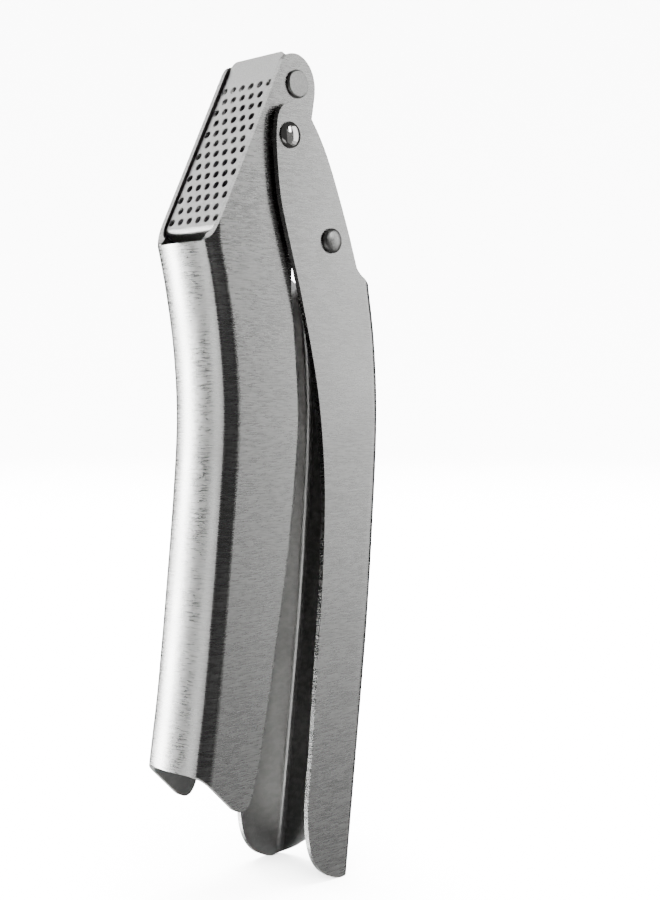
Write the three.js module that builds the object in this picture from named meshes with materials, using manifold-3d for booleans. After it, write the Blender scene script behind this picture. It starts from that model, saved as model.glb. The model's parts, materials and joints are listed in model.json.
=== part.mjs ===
// Garlic press in folded stainless steel, standing upright on the tips of its lever.
//
// Two U-shaped handles are folded from flat sheet. The narrow body handle has its web on the
// left and holds the garlic chamber at its head; the wide lever handle has its web on the right
// and closes over it. A perforated sieve plate closes the front of the chamber and flips out
// about two flat rivets. The plunger hangs on a pin between the lever's flanges.
//
// Millimetres, +Z up, +Y across the press (near side is -Y). Every place is first given from the
// centre of the sieve's top row of holes; the finished group is then moved so that its origin
// is the middle of the bottom of its bounding box.
import * as THREE from 'three';
import { mergeVertices } from 'three/addons/utils/BufferGeometryUtils.js';
import Module from 'manifold-3d';

// ---- sheet and fits ---------------------------------------------------------------------
const SHEET = 1.2;            // wall of both handles and of the plunger bracket
const BODY_WIDTH = 19.8;      // outside width of the body handle
const FLANGE_CLEARANCE = 0.8; // side gap between the two handles' flanges
const BODY_BEND = 3.0;        // outside radius of the body handle's folds
const LEVER_BEND = 3.0;       // outside radius of the lever handle's folds
const WEB_LEAN = THREE.MathUtils.degToRad(12); // lean of a web's edges, which crowns it outwards
const PIN_CLEARANCE = 0.15;   // radial gap of a rivet or pin in its hole
const FACE_CLEARANCE = 0.1;   // gap between two flat faces that touch
const SIDE_CLEARANCE = 0.3;   // gap of the sieve and the plunger to the walls beside them

// ---- sieve ------------------------------------------------------------------------------
const SIEVE_TILT = THREE.MathUtils.degToRad(26.5); // lean of the sieve from the vertical
const SIEVE_SHEET = 1.0;
const SIEVE_TAB = 0.8;        // thickness of its two hinge tabs
const HOLE_RADIUS = 0.9;
const HOLE_PITCH = 2.9;       // hole to hole across the sieve
const ROW_PITCH = 2.82;       // row to row down the sieve
const ROW_COUNT = 13;
const HOLE_MARGIN = 1.1;      // least distance from a hole's centre to the sieve's side
const FLAP_LENGTH = 8.1;      // plain flap above the top row of holes
const FLAP_CORNER = 1.3;
const LIP_MARGIN = 1.4;       // plain strip below the bottom row, up to the lip's fold
const LIP_BEND = 1.5;         // outside radius of the lip's fold
const LIP_DEPTH = 8.0;        // how far the lip reaches into the chamber

// ---- pivots, from the top row of holes (x to the right, z up) -----------------------------
const MAIN_PIVOT = { x: 1.9, z: -11.6 };
const SIEVE_PIVOT = { x: 5.8, z: 0.1 };
const PLUNGER_PIVOT = { x: 14.4, z: -33.3 };
const SHANK_RADIUS = 2.0;
const MAIN_HEAD = { overhang: 0.85, height: 1.3 };   // over the shank
const PLUNGER_HEAD = { overhang: 0.75, height: 1.2 };
const SIEVE_HEAD = { overhang: 1.05, edge: 0.3 };
const DOME_RIM = 0.25;        // share of a domed head's height that is its upright rim
const WASHER_WALL = 1.05;     // ring width round the hole of each washer, spacer, eye and tab
const SPACER_WALL = 1.35;
const SLEEVE_WALL = 1.05;
const EYE_WALL = 2.05;
const TAB_WALL = 1.05;

// ---- plunger ------------------------------------------------------------------------------
const CLOSING_TURN = THREE.MathUtils.degToRad(11); // lever travel from here to fully closed
const PLUNGER_FOLLOW = 1.5;   // turns of the plunger on its pin, back, for each turn of the lever
const CLOSED_GAP = 0.6;       // plunger to sieve when the press is fully closed
const LIP_GAP = 0.9;          // press plate to the sieve's lip when closed
const PLATE_THICKNESS = 2.5;
const PLATE_LENGTH = 30.5;
const PLATE_CORNER = 1.5;
const BRACKET_INSET = 1.4;    // bracket ends inside the press plate's ends
const BRACKET_BEND = 1.8;
const BRACKET_FOOT = 4.5;     // height of the bracket's low ends over the press plate
const PLATE_RIVET = { radius: 1.1, head: 2.0, sink: 0.9, spacing: 15.0, dome: 0.9 };

// ---- handle outlines ------------------------------------------------------------------------
// Each grip hangs below its head. Its points are [x, percent of the way down the grip].
const BODY_GRIP = { top: -46.5, length: 112.0 };
const LEVER_GRIP = { top: -47.2, length: 129.0 };
const BODY_SPINE_HEAD = [-16.4, -44.6];
const BODY_SPINE = [[-14.3, 9.9], [-13.45, 22.8], [-14.4, 37.1], [-16.6, 56.7], [-19.1, 76], [-21.4, 89.7],
  [-22.8, 100]];
const LEVER_SPINE_HEAD = [28.1, -42.6];
const LEVER_SPINE = [[30.1, 6.8], [30.85, 20], [29.7, 37.1], [27.4, 58], [24, 79.7], [20.7, 101.4]];
const BODY_CORNER = [-21.2, 90];          // where the web's bottom edge turns into the tip
const BODY_TIP = [[-12.9, 97.1], [-9.2, 99.7], [-7.4, 95]];
const BODY_BACK_GRIP = [[-5, 86.9], [-0.9, 68], [3, 48.8], [5.6, 29.4], [5.95, 20.1], [5, 7.9], [4.2, 0]];
const BODY_BACK_HEAD = [[4.3, -40], [5.2, -30], [8, -18], [10.35, -6.9], [11.3, -1.6]];
const BODY_EAR = { x: -0.5, z: -0.3, wide: 6.05, tall: 6.85, end: 1.95 };  // from the sieve's pivot
const FRONT_TOP = [[1.9, 5.6], [0.95, 3.4]];
const FRONT_PROUD = 0.52;                 // the flanges' front edges stand this far before the sieve
const CHAMBER_SILL = { below: 0.6, bend: [-0.6, -1.5], web: [-1.9, -2.2], spine: -1.4 };
const LEVER_SHOULDER = [[26.6, -42.3], [25.2, -41], [23.6, -40.2], [22.6, -38.8]];
const LEVER_HEAD_BACK = [[19.3, -29.4], [14.6, -17.9], [11.5, -11.9], [8.4, -7.35]];
const LEVER_CROWN = [[5.4, -4.3], [3, -4.3], [-1.3, -4.6], [-1.8, -9.5]];
const LEVER_FRONT_HEAD = [[-1.95, -14], [-0.95, -23.9], [1, -31.6]];
const LEVER_FRONT_GRIP = [[5.7, 0], [10.4, 15.3], [12.35, 30.1], [12, 44], [10.6, 58], [8.8, 73.9], [7.2, 85.9],
  [7.3, 90.5]];
const LEVER_TIP = [[7.8, 96.7], [12, 99.2], [17.2, 100]];
const LEVER_ARCH = { height: 6.0, from: 18.2, side: 0.5, knees: [[0.65, 4], [0.32, 1.5]] };

const BEYOND = 45;            // past everything, for cutting outlines
const OPEN_EDGE = 22;         // past the flanges' free edges
const HEAD_TOP = 20;          // past the top of the head
const CURVE_STEPS = 3;
const ROUND_STEPS = 24;
const HOLE_STEPS = 8;
const SPINE_STEPS = 22;
const BEND_STEPS = 4;
const WEB_STEPS = 4;

// ---- worked out from the sizes above ------------------------------------------------------
const bodyOuter = BODY_WIDTH / 2;
const bodyInner = bodyOuter - SHEET;
const leverInner = bodyOuter + FLANGE_CLEARANCE;
const leverOuter = leverInner + SHEET;
const sieveHalf = bodyInner - SIDE_CLEARANCE;
const plungerHalf = sieveHalf - SIEVE_TAB - SIDE_CLEARANCE;
const bracketOuter = plungerHalf - FACE_CLEARANCE;
const bracketInner = bracketOuter - SHEET;
const holeRadius = SHANK_RADIUS + PIN_CLEARANCE;
const holesInLongRow = Math.floor(2 * (sieveHalf - HOLE_MARGIN) / HOLE_PITCH) + 1;
const sieveRows = (ROW_COUNT - 1) * ROW_PITCH;
const lipFold = -(sieveRows + LIP_MARGIN);
const lipOuter = lipFold - LIP_BEND;
const lipInner = lipOuter + SIEVE_SHEET;

// A place in the press's side view as seen in the sieve's frame: x into the chamber, z up it.
function inSieveFrame(point) {
  const cos = Math.cos(SIEVE_TILT);
  const sin = Math.sin(SIEVE_TILT);
  return { x: point.x * cos - point.z * sin, z: point.x * sin + point.z * cos };
}

function fromSieveFrame(point) {
  const cos = Math.cos(SIEVE_TILT);
  const sin = Math.sin(SIEVE_TILT);
  return { x: point.x * cos + point.z * sin, z: point.z * cos - point.x * sin };
}

// A grip's points in the side view.
function onGrip(grip, points) {
  return points.map(([x, percent]) => [x, grip.top - grip.length * percent / 100]);
}

// A place turned about the main pivot as the lever closes.
function whenClosed(point) {
  const cos = Math.cos(CLOSING_TURN);
  const sin = Math.sin(CLOSING_TURN);
  const x = point.x - MAIN_PIVOT.x;
  const z = point.z - MAIN_PIVOT.z;
  return { x: MAIN_PIVOT.x + x * cos + z * sin, z: MAIN_PIVOT.z - x * sin + z * cos };
}

const closedPin = inSieveFrame(whenClosed(PLUNGER_PIVOT));
const sievePivot = inSieveFrame(SIEVE_PIVOT);
const plateFace = SIEVE_SHEET + CLOSED_GAP - closedPin.x;   // from the pin, into the chamber
const plateBack = plateFace + PLATE_THICKNESS;
const plateLow = lipInner + LIP_GAP - closedPin.z;
const plateHigh = plateLow + PLATE_LENGTH;

// ---- solids -------------------------------------------------------------------------------
const wasm = await Module();
wasm.setup();

function solid(geometry) {
  const plain = geometry.clone();
  plain.deleteAttribute('normal');
  plain.deleteAttribute('uv');
  const merged = mergeVertices(plain, 1e-4);
  return new wasm.Manifold(new wasm.Mesh({
    numProp: 3,
    vertProperties: new Float32Array(merged.attributes.position.array),
    triVerts: new Uint32Array(merged.index.array),
  }));
}

function geometryOf(body) {
  const mesh = body.getMesh();
  const geometry = new THREE.BufferGeometry();
  geometry.setAttribute('position', new THREE.BufferAttribute(mesh.vertProperties, 3));
  geometry.setIndex(new THREE.BufferAttribute(mesh.triVerts, 1));
  return geometry;
}

// A flat outline in x and z, given thickness along y.
function slab(shape, yLow, yHigh, steps = CURVE_STEPS) {
  const depth = yHigh - yLow;
  const geometry = new THREE.ExtrudeGeometry(shape, { depth, bevelEnabled: false, curveSegments: steps });
  geometry.rotateX(Math.PI / 2);
  geometry.translate(0, yHigh, 0);
  return geometry;
}

// A flat outline in y and z, given thickness along x.
function plate(shape, xLow, xHigh, steps = CURVE_STEPS) {
  const depth = xHigh - xLow;
  const geometry = new THREE.ExtrudeGeometry(shape, { depth, bevelEnabled: false, curveSegments: steps });
  geometry.rotateX(Math.PI / 2);
  geometry.rotateZ(Math.PI / 2);
  geometry.translate(xLow, 0, 0);
  return geometry;
}

// A round bar along y through a place in the side view.
function bar(place, radius, yLow, yHigh) {
  const geometry = new THREE.CylinderGeometry(radius, radius, yHigh - yLow, ROUND_STEPS);
  geometry.translate(place.x, (yLow + yHigh) / 2, place.z);
  return geometry;
}

function rounded(width, low, high, corner) {
  const shape = new THREE.Shape();
  const side = width / 2;
  shape.moveTo(-side + corner, low);
  shape.lineTo(side - corner, low);
  shape.absarc(side - corner, low + corner, corner, -Math.PI / 2, 0);
  shape.lineTo(side, high - corner);
  shape.absarc(side - corner, high - corner, corner, 0, Math.PI / 2);
  shape.lineTo(-side + corner, high);
  shape.absarc(-side + corner, high - corner, corner, Math.PI / 2, Math.PI);
  shape.lineTo(-side, low + corner);
  shape.absarc(-side + corner, low + corner, corner, Math.PI, 1.5 * Math.PI);
  return shape;
}

// One wall of a folded channel's cross-section: flange, fold, crowned web, fold and flange.
function wallPoints(webX, openX, half, bend, inset) {
  const way = Math.sign(openX - webX);
  const centreX = webX + way * bend;
  const centreY = half - bend;
  const radius = bend - inset;
  const crownRadius = (centreY + radius * Math.sin(WEB_LEAN)) / Math.sin(WEB_LEAN);
  const crownX = centreX + way * (crownRadius - radius) * Math.cos(WEB_LEAN);
  const upper = [[openX, half - inset]];
  for (let i = 0; i <= BEND_STEPS; i += 1) {
    const angle = Math.PI / 2 - (i / BEND_STEPS) * (Math.PI / 2 - WEB_LEAN);
    upper.push([centreX - way * radius * Math.cos(angle), centreY + radius * Math.sin(angle)]);
  }
  for (let i = 1; i < WEB_STEPS / 2; i += 1) {
    const angle = WEB_LEAN * (1 - 2 * i / WEB_STEPS);
    upper.push([crownX - way * crownRadius * Math.cos(angle), crownRadius * Math.sin(angle)]);
  }
  const lower = upper.map(([x, y]) => [x, -y]).reverse();
  return [...upper, [crownX - way * crownRadius, 0], ...lower];
}

// The cross-section of a folded channel: a web at webX and two flanges out to openX.
function channelSection(webX, openX, half, bend) {
  const outside = wallPoints(webX, openX, half, bend, 0);
  const inside = wallPoints(webX, openX, half, bend, SHEET).reverse();
  const ring = [...outside, ...inside];
  return openX > webX ? ring : ring.reverse();
}

// The same for a small bracket, whose base is flat.
function boxSection(baseX, openX, half, bend) {
  const wall = (radius, reach) => {
    const upper = [[openX, reach]];
    for (let i = 0; i <= BEND_STEPS; i += 1) {
      const angle = (1 - i / BEND_STEPS) * Math.PI / 2;
      upper.push([baseX + bend - radius * Math.cos(angle), half - bend + radius * Math.sin(angle)]);
    }
    return [...upper, ...upper.map(([x, y]) => [x, -y]).reverse()];
  };
  return [...wall(bend, half), ...wall(bend - SHEET, half - SHEET).reverse()];
}

// A closed solid through rings of the same number of points, one ring above the other.
function loft(rings, heights) {
  const count = rings[0].length;
  const positions = [];
  rings.forEach((ring, k) => ring.forEach(([x, y]) => positions.push(x, y, heights[k])));
  const index = [];
  for (let k = 0; k + 1 < rings.length; k += 1) {
    for (let i = 0; i < count; i += 1) {
      const a = k * count + i;
      const b = k * count + ((i + 1) % count);
      index.push(a, b, b + count, a, b + count, a + count);
    }
  }
  const top = (rings.length - 1) * count;
  const outline = rings[0].map(([x, y]) => new THREE.Vector2(x, y));
  for (const [a, b, c] of THREE.ShapeUtils.triangulateShape(outline, [])) {
    index.push(c, b, a, top + a, top + b, top + c);
  }
  const geometry = new THREE.BufferGeometry();
  geometry.setAttribute('position', new THREE.Float32BufferAttribute(positions, 3));
  geometry.setIndex(index);
  return geometry;
}

// A folded channel whose web follows a spine in the side view. Above the spine's first point
// the web is left out and only the flanges go on.
function channel(spine, openX, half, bend) {
  const curve = new THREE.SplineCurve(spine.map(([x, z]) => new THREE.Vector2(x, z)));
  const stations = curve.getPoints(SPINE_STEPS);
  const top = stations[0];
  stations.unshift(new THREE.Vector2(top.x, HEAD_TOP));
  stations.reverse();
  const rings = stations.map((station) => channelSection(station.x, openX, half, bend));
  const mouth = new THREE.BoxGeometry(4 * bend, 2 * (half - bend), HEAD_TOP - top.y + 1);
  mouth.translate(top.x, 0, (HEAD_TOP + top.y + 1) / 2);
  return solid(loft(rings, stations.map((station) => station.y))).subtract(solid(mouth));
}

function through(shape, points) {
  shape.splineThru(points.map(([x, z]) => new THREE.Vector2(x, z)));
}

// ---- body handle ----------------------------------------------------------------------------
const chamberSill = fromSieveFrame({ x: -FRONT_PROUD, z: lipOuter - CHAMBER_SILL.below });

// A place in the side view reached from the sill of the chamber's front.
function fromSill([x, z]) {
  return [chamberSill.x + x, chamberSill.z + z];
}

const bodyWebTop = fromSill(CHAMBER_SILL.web)[1];

function bodyOutline() {
  const [corner] = onGrip(BODY_GRIP, [BODY_CORNER]);
  const tip = onGrip(BODY_GRIP, BODY_TIP);
  const { x, z, wide, tall, end } = BODY_EAR;
  const shape = new THREE.Shape();
  shape.moveTo(-BEYOND, corner[1]);
  shape.lineTo(...corner);
  shape.lineTo(...tip[0]);
  shape.quadraticCurveTo(...tip[1], ...tip[2]);
  through(shape, [...onGrip(BODY_GRIP, BODY_BACK_GRIP), ...BODY_BACK_HEAD]);
  shape.absellipse(SIEVE_PIVOT.x + x, SIEVE_PIVOT.z + z, wide, tall, 0, end);
  shape.quadraticCurveTo(...FRONT_TOP[0], ...FRONT_TOP[1]);
  shape.lineTo(chamberSill.x, chamberSill.z);
  shape.quadraticCurveTo(...fromSill(CHAMBER_SILL.bend), ...fromSill(CHAMBER_SILL.web));
  shape.lineTo(-BEYOND, bodyWebTop);
  return shape;
}

function bodyHandle() {
  const reach = bodyOuter + 1;
  const spine = [[chamberSill.x + CHAMBER_SILL.spine, bodyWebTop], BODY_SPINE_HEAD,
    ...onGrip(BODY_GRIP, BODY_SPINE)];
  return channel(spine, OPEN_EDGE, bodyOuter, BODY_BEND)
    .intersect(solid(slab(bodyOutline(), -reach, reach)))
    .subtract(solid(bar(MAIN_PIVOT, holeRadius, -reach, reach)))
    .subtract(solid(bar(SIEVE_PIVOT, holeRadius, -reach, reach)));
}

// ---- lever handle ---------------------------------------------------------------------------
const leverBottom = LEVER_GRIP.top - LEVER_GRIP.length;
const leverWebTop = LEVER_SPINE_HEAD[1];

function leverOutline() {
  const tip = onGrip(LEVER_GRIP, LEVER_TIP);
  const shape = new THREE.Shape();
  shape.moveTo(BEYOND, leverWebTop);
  shape.lineTo(...LEVER_SPINE_HEAD);
  shape.quadraticCurveTo(...LEVER_SHOULDER[0], ...LEVER_SHOULDER[1]);
  shape.quadraticCurveTo(...LEVER_SHOULDER[2], ...LEVER_SHOULDER[3]);
  through(shape, LEVER_HEAD_BACK);
  shape.quadraticCurveTo(...LEVER_CROWN[0], ...LEVER_CROWN[1]);
  shape.quadraticCurveTo(...LEVER_CROWN[2], ...LEVER_CROWN[3]);
  through(shape, [...LEVER_FRONT_HEAD, ...onGrip(LEVER_GRIP, LEVER_FRONT_GRIP)]);
  shape.bezierCurveTo(...tip[0], ...tip[1], ...tip[2]);
  shape.lineTo(BEYOND, leverBottom);
  return shape;
}

// What is cut from the bottom of the lever's web, leaving an arch between the flange tips.
function leverArch() {
  const crown = leverBottom + LEVER_ARCH.height;
  const side = leverOuter - LEVER_ARCH.side;
  const knees = LEVER_ARCH.knees.map(([share, drop]) => [share * side, crown - drop]);
  const shape = new THREE.Shape();
  shape.moveTo(-side, leverBottom - 1);
  shape.lineTo(side, leverBottom - 1);
  shape.lineTo(side, leverBottom);
  through(shape, [...knees, [0, crown], ...knees.map(([y, z]) => [-y, z]).reverse(), [-side, leverBottom]]);
  return plate(shape, LEVER_ARCH.from, BEYOND);
}

function leverHandle() {
  const reach = leverOuter + 1;
  const spine = [LEVER_SPINE_HEAD, ...onGrip(LEVER_GRIP, LEVER_SPINE)];
  return channel(spine, -OPEN_EDGE, leverOuter, LEVER_BEND)
    .intersect(solid(slab(leverOutline(), -reach, reach)))
    .subtract(solid(leverArch()))
    .subtract(solid(bar(MAIN_PIVOT, holeRadius, -reach, reach)))
    .subtract(solid(bar(PLUNGER_PIVOT, holeRadius, -reach, reach)));
}

// ---- sieve, in its own tilted frame: x into the chamber, z up along it --------------------------
function sieveProfile() {
  const shape = new THREE.Shape();
  shape.moveTo(0, FLAP_LENGTH);
  shape.lineTo(0, lipFold);
  shape.absarc(LIP_BEND, lipFold, LIP_BEND, Math.PI, 1.5 * Math.PI);
  shape.lineTo(LIP_DEPTH, lipOuter);
  shape.lineTo(LIP_DEPTH, lipInner);
  shape.lineTo(LIP_BEND, lipInner);
  shape.absarc(LIP_BEND, lipFold, LIP_BEND - SIEVE_SHEET, 1.5 * Math.PI, Math.PI, true);
  shape.lineTo(SIEVE_SHEET, FLAP_LENGTH);
  return shape;
}

function tabProfile() {
  const radius = holeRadius + TAB_WALL;
  const shape = new THREE.Shape();
  shape.moveTo(SIEVE_SHEET / 2, FLAP_LENGTH - FLAP_CORNER);
  shape.lineTo(SIEVE_SHEET / 2, sievePivot.z - radius);
  shape.lineTo(2 * SIEVE_SHEET, sievePivot.z - radius);
  shape.absarc(sievePivot.x, sievePivot.z, radius, -0.4 * Math.PI, 0.3 * Math.PI);
  return shape;
}

function sieveHoles() {
  const across = (holesInLongRow - 1) * HOLE_PITCH;
  const cutters = [];
  for (let row = 0; row < ROW_COUNT; row += 1) {
    const short = row % 2;
    for (let i = 0; i < holesInLongRow - short; i += 1) {
      const cutter = new THREE.CylinderGeometry(HOLE_RADIUS, HOLE_RADIUS, 3 * SIEVE_SHEET, HOLE_STEPS);
      cutter.rotateZ(Math.PI / 2);
      cutter.translate(SIEVE_SHEET / 2, (i + short / 2) * HOLE_PITCH - across / 2, -row * ROW_PITCH);
      cutters.push(solid(cutter));
    }
  }
  return wasm.Manifold.union(cutters);
}

function sieve() {
  const front = rounded(2 * sieveHalf, lipOuter - 1, FLAP_LENGTH, FLAP_CORNER);
  let body = solid(slab(sieveProfile(), -sieveHalf, sieveHalf))
    .intersect(solid(plate(front, -1, LIP_DEPTH + 1)));
  for (const inner of [sieveHalf - SIEVE_TAB, -sieveHalf]) {
    body = body.add(solid(slab(tabProfile(), inner, inner + SIEVE_TAB)));
  }
  return body
    .subtract(sieveHoles())
    .subtract(solid(bar(sievePivot, holeRadius, -bodyInner, bodyInner)));
}

// ---- plunger about its own pin, x along its stroke, square to the sieve when closed -------
function pressPlate() {
  const outline = rounded(2 * plungerHalf, plateLow, plateHigh, PLATE_CORNER);
  return solid(plate(outline, plateFace, plateBack)).subtract(plateRivetHoles());
}

const plateMiddle = (plateLow + plateHigh) / 2;
const plateRivetPlaces = [plateMiddle + PLATE_RIVET.spacing / 2, plateMiddle - PLATE_RIVET.spacing / 2];
const eyeRadius = holeRadius + EYE_WALL;
const bracketBase = plateBack + FACE_CLEARANCE;

// A countersunk rivet through the press plate and the bracket's base, along x.
function plateRivetShape(gap) {
  const { radius, head, sink } = PLATE_RIVET;
  const length = PLATE_THICKNESS + SHEET + FACE_CLEARANCE;
  const crown = length + PLATE_RIVET.dome;
  const points = [[0, 0], [head + gap, 0], [radius + gap, sink], [radius + gap, length]];
  if (gap === 0) {
    points.push([radius, length + FACE_CLEARANCE], [head, length + FACE_CLEARANCE]);
    points.push([0.6 * head, crown - 0.2], [0, crown]);
  } else {
    points.push([0, length]);
  }
  const geometry = new THREE.LatheGeometry(points.map(([r, y]) => new THREE.Vector2(r, y)), 12);
  geometry.rotateZ(-Math.PI / 2);
  geometry.translate(plateFace, 0, 0);
  return geometry;
}

function plateRivetHoles() {
  return wasm.Manifold.union(plateRivetPlaces.map((z) => {
    const hole = plateRivetShape(PIN_CLEARANCE);
    hole.translate(0, 0, z);
    return solid(hole);
  }));
}

function plungerBracket() {
  const low = plateLow + BRACKET_INSET;
  const high = plateHigh - BRACKET_INSET;
  const foot = bracketBase + BRACKET_FOOT;
  const cheek = new THREE.Shape();
  cheek.moveTo(bracketBase - 1, low);
  cheek.lineTo(foot, low);
  cheek.absarc(0, 0, eyeRadius, -0.45 * Math.PI, 0.3 * Math.PI);
  cheek.lineTo(foot, high);
  cheek.lineTo(bracketBase - 1, high);
  const ring = boxSection(bracketBase, eyeRadius + 1, bracketOuter, BRACKET_BEND);
  return solid(loft([ring, ring], [low - 1, high + 1]))
    .intersect(solid(slab(cheek, -plungerHalf, plungerHalf)))
    .subtract(plateRivetHoles())
    .subtract(solid(bar({ x: 0, z: 0 }, holeRadius, -plungerHalf, plungerHalf)));
}

// ---- rivets, washers and spacers, turned about y --------------------------------------------------
function turned(points, place, side) {
  const profile = points.map(([radius, y]) => new THREE.Vector2(radius, y));
  const geometry = new THREE.LatheGeometry(profile, ROUND_STEPS);
  if (side < 0) {
    geometry.rotateX(Math.PI);
  }
  geometry.translate(place.x, 0, place.z);
  return geometry;
}

// A low dome from its rim at y to the axis.
function dome(radius, height, y) {
  const points = [];
  for (let i = 0; i < BEND_STEPS; i += 1) {
    const angle = (i / BEND_STEPS) * Math.PI / 2;
    points.push([radius * Math.cos(angle), y + height * (DOME_RIM + (1 - DOME_RIM) * Math.sin(angle))]);
  }
  return [...points, [0, y + height]];
}

function mainRivet(side) {
  const under = leverOuter + FACE_CLEARANCE;
  const head = SHANK_RADIUS + MAIN_HEAD.overhang;
  return turned([[0, bodyInner + FACE_CLEARANCE], [SHANK_RADIUS, bodyInner + FACE_CLEARANCE],
    [SHANK_RADIUS, under], [head, under], ...dome(head, MAIN_HEAD.height, under)], MAIN_PIVOT, side);
}

// A flat rivet whose head is thin enough for the lever's flange to pass over it.
function sieveRivet(side) {
  const inner = sieveHalf - SIEVE_TAB;
  const under = bodyOuter + FACE_CLEARANCE;
  const top = leverInner - FACE_CLEARANCE;
  const head = SHANK_RADIUS + SIEVE_HEAD.overhang;
  const edge = SIEVE_HEAD.edge;
  return turned([[0, inner], [SHANK_RADIUS, inner], [SHANK_RADIUS, under], [head, under],
    [head, top - edge], [head - edge, top], [0, top]], SIEVE_PIVOT, side);
}

function ringProfile(wall, yLow, yHigh) {
  const outer = holeRadius + wall;
  return [[holeRadius, yLow], [outer, yLow], [outer, yHigh], [holeRadius, yHigh], [holeRadius, yLow]];
}

function mainWasher(side) {
  const low = bodyOuter + FACE_CLEARANCE;
  const high = leverInner - FACE_CLEARANCE;
  return turned(ringProfile(WASHER_WALL, low, high), MAIN_PIVOT, side);
}

function plungerSpacer(side) {
  const low = bracketOuter + FACE_CLEARANCE;
  const high = leverInner - FACE_CLEARANCE;
  return turned(ringProfile(SPACER_WALL, low, high), PLUNGER_PIVOT, side);
}

function plungerSleeve() {
  const half = bracketInner - FACE_CLEARANCE;
  return turned(ringProfile(SLEEVE_WALL, -half, half), PLUNGER_PIVOT, 1);
}

function plungerPin() {
  const under = leverOuter + FACE_CLEARANCE;
  const head = SHANK_RADIUS + PLUNGER_HEAD.overhang;
  const far = [[SHANK_RADIUS, under], [head, under], ...dome(head, PLUNGER_HEAD.height, under)];
  const near = far.map(([radius, y]) => [radius, -y]).reverse();
  return turned([...near, ...far], PLUNGER_PIVOT, 1);
}

// ---- assembly -------------------------------------------------------------------------------------
const satinSteel = new THREE.MeshStandardMaterial({ color: 0xb4b4b2, roughness: 0.42, metalness: 1 });
const brightSteel = new THREE.MeshStandardMaterial({ color: 0xd8d6d2, roughness: 0.12, metalness: 1 });
const sieveSteel = new THREE.MeshStandardMaterial({ color: 0xc8c8c6, roughness: 0.5, metalness: 1 });
const pinSteel = new THREE.MeshStandardMaterial({ color: 0x9a9a98, roughness: 0.35, metalness: 1 });

function piece(name, geometry, material) {
  const mesh = new THREE.Mesh(geometry, material);
  mesh.name = name;
  return mesh;
}

const press = new THREE.Group();
press.add(piece('body_handle', geometryOf(bodyHandle()), satinSteel));
press.add(piece('lever_handle', geometryOf(leverHandle()), satinSteel));

const sieveGroup = new THREE.Group();
sieveGroup.rotation.y = SIEVE_TILT;
sieveGroup.add(piece('sieve', geometryOf(sieve()), sieveSteel));
press.add(sieveGroup);

const plungerGroup = new THREE.Group();
plungerGroup.position.set(PLUNGER_PIVOT.x, 0, PLUNGER_PIVOT.z);
plungerGroup.rotation.y = SIEVE_TILT + (PLUNGER_FOLLOW - 1) * CLOSING_TURN;
plungerGroup.add(piece('press_plate', geometryOf(pressPlate()), sieveSteel));
plungerGroup.add(piece('plunger_bracket', geometryOf(plungerBracket()), satinSteel));
plateRivetPlaces.forEach((z, i) => {
  const rivet = piece(`press_plate_rivet_${i ? 'lower' : 'upper'}`, plateRivetShape(0), pinSteel);
  rivet.position.z = z;
  plungerGroup.add(rivet);
});
press.add(plungerGroup);

press.add(piece('plunger_pin', plungerPin(), pinSteel));
press.add(piece('plunger_sleeve', plungerSleeve(), pinSteel));
for (const [end, side] of [['near', -1], ['far', 1]]) {
  press.add(piece(`plunger_spacer_${end}`, plungerSpacer(side), pinSteel));
  press.add(piece(`main_pivot_rivet_${end}`, mainRivet(side), brightSteel));
  press.add(piece(`main_pivot_washer_${end}`, mainWasher(side), pinSteel));
  press.add(piece(`sieve_rivet_${end}`, sieveRivet(side), pinSteel));
}

const part = new THREE.Group();
part.add(press);
const box = new THREE.Box3().setFromObject(part, true);
press.position.set(-(box.min.x + box.max.x) / 2, 0, -box.min.z);

export default part;
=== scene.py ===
"""Garlic press in folded stainless steel: the visible pieces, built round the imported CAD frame."""
import json
import math

import bpy
from bpy.props import FloatProperty, FloatVectorProperty, IntProperty, PointerProperty
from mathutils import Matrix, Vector


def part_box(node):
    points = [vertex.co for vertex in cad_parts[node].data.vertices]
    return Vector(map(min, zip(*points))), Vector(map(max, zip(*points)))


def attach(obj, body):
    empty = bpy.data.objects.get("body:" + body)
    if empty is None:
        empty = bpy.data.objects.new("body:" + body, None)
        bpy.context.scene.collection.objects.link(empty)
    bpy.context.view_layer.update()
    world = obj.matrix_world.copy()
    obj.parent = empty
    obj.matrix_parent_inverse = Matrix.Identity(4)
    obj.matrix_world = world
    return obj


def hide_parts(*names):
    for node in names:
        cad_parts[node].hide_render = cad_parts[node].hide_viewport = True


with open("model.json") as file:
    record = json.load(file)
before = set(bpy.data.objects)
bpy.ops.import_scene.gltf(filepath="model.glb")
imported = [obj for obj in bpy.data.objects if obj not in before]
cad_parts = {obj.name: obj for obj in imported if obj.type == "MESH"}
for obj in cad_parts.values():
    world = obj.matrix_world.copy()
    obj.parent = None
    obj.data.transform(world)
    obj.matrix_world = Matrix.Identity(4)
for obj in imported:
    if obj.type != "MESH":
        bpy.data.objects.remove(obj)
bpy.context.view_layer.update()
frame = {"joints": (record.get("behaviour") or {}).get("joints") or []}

bl_info = {
    "name": "Garlic Press",
    "version": (1, 0, 0),
    "blender": (4, 5, 0),
    "location": "View3D > Sidebar > Garlic Press",
    "description": "Builds a folded-sheet garlic press with a flip-out sieve and a hinged plunger",
    "category": "Add Mesh",
}

MM = 0.001

# ---- places taken from the frame --------------------------------------------------------------
JOINTS = {joint["name"]: Vector(joint["pos_m"]) / MM for joint in frame["joints"]}
MAIN_PIVOT = (1.9, -11.6)  # in the side view, from the middle of the sieve's top row of holes
SIEVE_ROW = JOINTS["lever_pivot"] - Vector((MAIN_PIVOT[0], 0, MAIN_PIVOT[1]))
SIEVE_PIVOT = (5.8, 0.1)
PLUNGER_PIVOT = (14.4, -33.3)


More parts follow.
